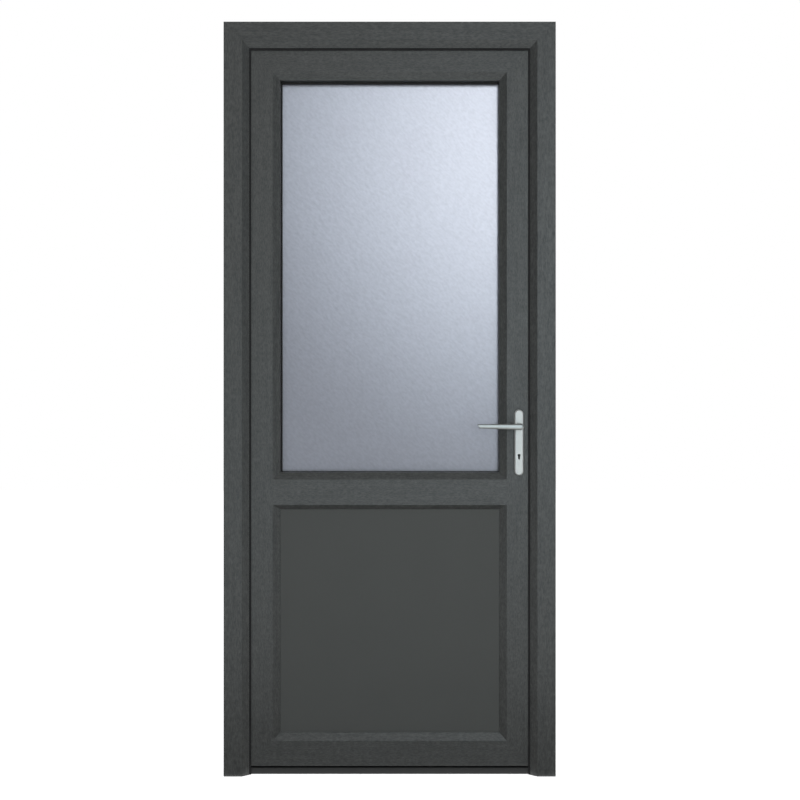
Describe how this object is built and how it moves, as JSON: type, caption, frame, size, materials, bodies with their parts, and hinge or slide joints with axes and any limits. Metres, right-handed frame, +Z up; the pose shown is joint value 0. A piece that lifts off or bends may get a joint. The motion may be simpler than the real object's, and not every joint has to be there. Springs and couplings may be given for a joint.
{
  "type": "half-glazed upvc door set",
  "caption": "Single inward-opening door leaf, obscured glass over a flat panel, in a woodgrain-foiled frame with a low threshold, lever handles and flag hinges.",
  "frame": {"origin": "centre of the threshold's bearing face, on the floor line, at the middle of the frame's depth", "axes": "+X to the right seen from outside, +Y into the house, +Z up"},
  "size_m": [0.92, 0.172, 2.09],
  "materials": {
    "profile_foil": "woodgrain-embossed anthracite foil, satin",
    "panel_foil": "flat anthracite foil, satin",
    "black_seal": "matt black",
    "obscured_glass": "obscured with a fine ripple",
    "spacer_bar": "mill",
    "threshold_metal": "powder-coated, satin",
    "hinge_coating": "powder-coated, satin",
    "satin_handle": "satin silver",
    "lock_steel": "zinc-plated, satin"
  },
  "bodies": {
    "frame": {"frame_left_jamb": "profile_foil", "frame_head": "profile_foil", "frame_right_jamb": "profile_foil", "frame_seal": "black_seal", "threshold": "threshold_metal", "bottom_hinge_frame_part": "hinge_coating", "middle_hinge_frame_part": "hinge_coating", "top_hinge_frame_part": "hinge_coating", "latch_keep": "lock_steel", "hook_keeps": "lock_steel"},
    "leaf": {"leaf_hinge_stile": "profile_foil", "leaf_top_rail": "profile_foil", "leaf_lock_stile": "profile_foil", "leaf_bottom_rail": "profile_foil", "leaf_mid_rail": "profile_foil", "glass_outer_pane": "obscured_glass", "glass_inner_pane": "obscured_glass", "glass_spacer": "spacer_bar", "lower_panel": "panel_foil", "glass_outer_gasket": "black_seal", "glass_inner_gasket": "black_seal", "panel_outer_gasket": "black_seal", "panel_inner_gasket": "black_seal", "leaf_seal": "black_seal", "lock_faceplate": "lock_steel", "lock_case": "lock_steel", "latch_bolt": "lock_steel", "dead_bolt": "lock_steel", "hook_bolts": "lock_steel", "outside_handle_plate": "satin_handle", "inside_handle_plate": "satin_handle", "bottom_hinge_flag": "hinge_coating", "middle_hinge_flag": "hinge_coating", "top_hinge_flag": "hinge_coating", "glass_bead_left": "profile_foil", "glass_bead_top": "profile_foil", "glass_bead_right": "profile_foil", "glass_bead_bottom": "profile_foil", "panel_bead_left": "profile_foil", "panel_bead_top": "profile_foil", "panel_bead_right": "profile_foil", "panel_bead_bottom": "profile_foil"},
    "levers": {"outside_lever": "satin_handle", "inside_lever": "satin_handle", "spindle": "lock_steel"}
  },
  "joints": [
    {"name": "leaf_swing", "type": "hinge", "parent": "frame", "child": "leaf", "pos_m": [-0.428, 0.067, 1.045], "axis": [0, 0, 1], "range_deg": [0, 100]},
    {"name": "lever_turn", "type": "hinge", "parent": "leaf", "child": "levers", "pos_m": [0.3595, 0, 0.969], "axis": [0, -1, 0], "range_deg": [-40, 40], "stiffness_Nm_per_rad": 2.5, "springref_deg": -2.86}
  ]
}
